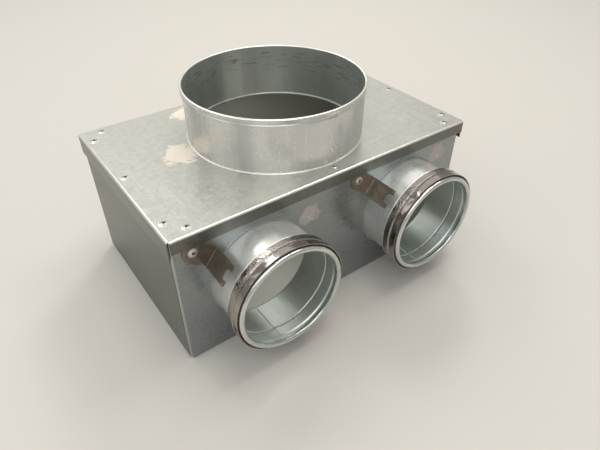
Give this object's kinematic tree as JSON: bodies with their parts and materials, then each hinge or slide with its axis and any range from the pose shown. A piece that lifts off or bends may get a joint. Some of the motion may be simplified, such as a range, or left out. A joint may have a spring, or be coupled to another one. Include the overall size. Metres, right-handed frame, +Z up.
{
  "type": "ventilation wall box",
  "caption": "Folded sheet-metal plenum box with a large round spigot on its lid and smaller front sockets held by bands and brackets; joins a main air duct to branch hoses.",
  "frame": {"origin": "centre of the box's underside, between the end plates and between the front and the back", "axes": "+X to the right along the front, +Y to the back, +Z up along the spigot"},
  "size_m": [0.3052, 0.2338, 0.1774],
  "materials": {
    "galvanised_steel": "hot-dip galvanised sheet, satin with fine spangle",
    "stainless_steel": "bright rolled stainless strip",
    "seal_rubber": "matte black rubber",
    "rivet_aluminium": "bare aluminium, satin"
  },
  "bodies": {
    "root": {"wrapper": "galvanised_steel", "left_end_plate": "galvanised_steel", "right_end_plate": "galvanised_steel", "lid": "galvanised_steel", "lid_rivets": "rivet_aluminium", "top_spigot": "galvanised_steel", "left_socket": "galvanised_steel", "right_socket": "galvanised_steel", "left_locking_band": "stainless_steel", "right_locking_band": "stainless_steel", "left_seal": "seal_rubber", "right_seal": "seal_rubber", "left_upper_bracket": "stainless_steel", "left_lower_bracket": "stainless_steel", "right_upper_bracket": "stainless_steel", "right_lower_bracket": "stainless_steel", "bracket_rivets": "rivet_aluminium"}
  },
  "joints": []
}
